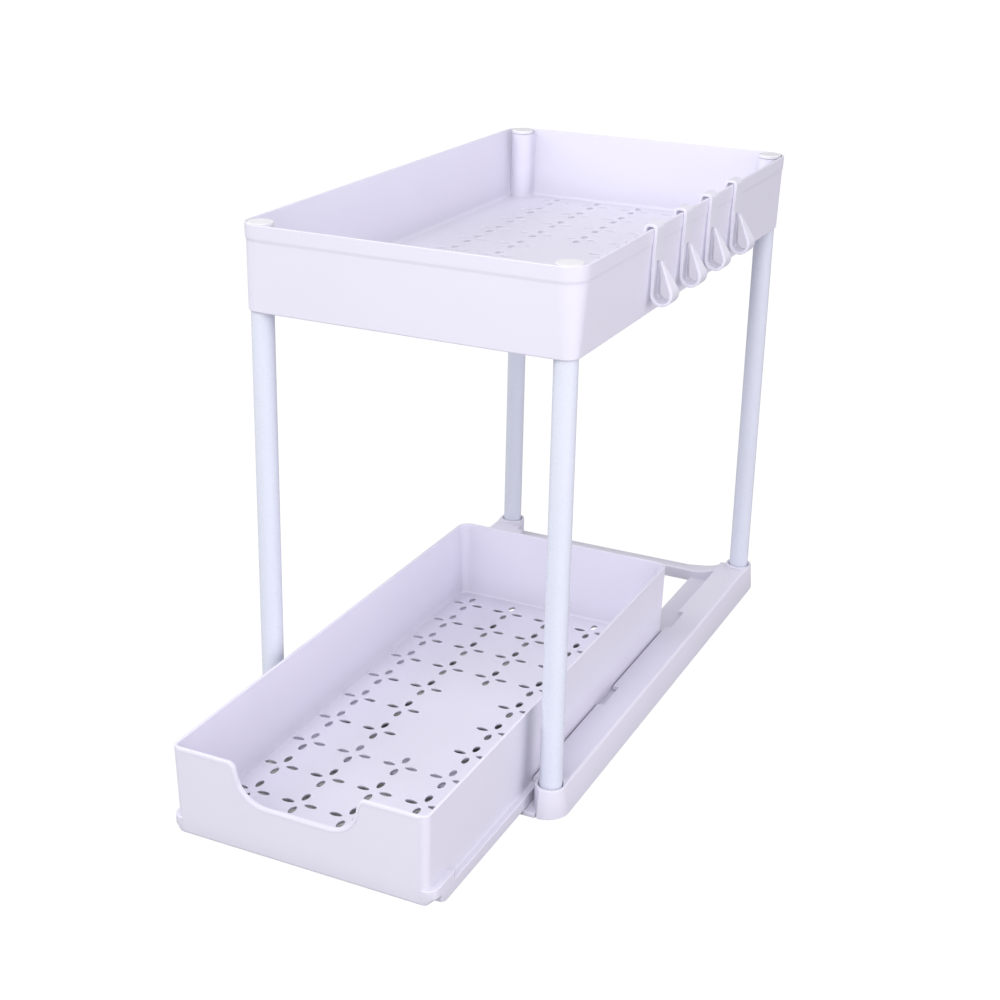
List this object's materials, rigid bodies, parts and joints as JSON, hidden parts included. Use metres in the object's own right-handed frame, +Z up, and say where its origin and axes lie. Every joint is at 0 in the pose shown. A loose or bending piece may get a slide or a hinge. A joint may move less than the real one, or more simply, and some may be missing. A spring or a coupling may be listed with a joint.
{
  "type": "pull-out storage rack",
  "caption": "Storage rack: a perforated upper tray on corner tubes above a perforated drawer that slides in a low base frame, with strip hooks on the tray's side rim.",
  "frame": {"origin": "bottom centre of the box around the whole object as pictured, drawer partly pulled out; the floor is z = 0", "axes": "+Z up; -Y is the way the drawer pulls out, so +Y runs from the drawer's front to the back of the rack; +X to the right as seen from the front, the side with the hooks"},
  "size_m": [0.249, 0.5484, 0.3677],
  "materials": {
    "body_plastic": "satin, near-white with a faint lavender tint",
    "tube_coat": "smooth white coat with a faint blue tint",
    "cap_plastic": "satin white",
    "hook_plastic": "satin white"
  },
  "bodies": {
    "rack": {"base_frame": "body_plastic", "tube_front_left": "tube_coat", "tube_front_right": "tube_coat", "tube_rear_left": "tube_coat", "tube_rear_right": "tube_coat", "upper_tray": "body_plastic", "cap_front_left": "cap_plastic", "cap_front_right": "cap_plastic", "cap_rear_left": "cap_plastic", "cap_rear_right": "cap_plastic"},
    "drawer": {"drawer": "body_plastic"},
    "hook_1": {"hook_1": "hook_plastic"},
    "hook_2": {"hook_2": "hook_plastic"},
    "hook_3": {"hook_3": "hook_plastic"},
    "hook_4": {"hook_4": "hook_plastic"}
  },
  "joints": [
    {"name": "drawer_slide", "type": "slide", "parent": "rack", "child": "drawer", "axis": [0, -1, 0], "range_m": [-0.122, 0.11]},
    {"name": "hook_1_slide", "type": "slide", "parent": "rack", "child": "hook_1", "axis": [0, 1, 0], "range_m": [-0.09, 0.018]},
    {"name": "hook_2_slide", "type": "slide", "parent": "rack", "child": "hook_2", "axis": [0, 1, 0], "range_m": [-0.018, 0.018]},
    {"name": "hook_3_slide", "type": "slide", "parent": "rack", "child": "hook_3", "axis": [0, 1, 0], "range_m": [-0.018, 0.018]},
    {"name": "hook_4_slide", "type": "slide", "parent": "rack", "child": "hook_4", "axis": [0, 1, 0], "range_m": [-0.018, 0.09]}
  ]
}
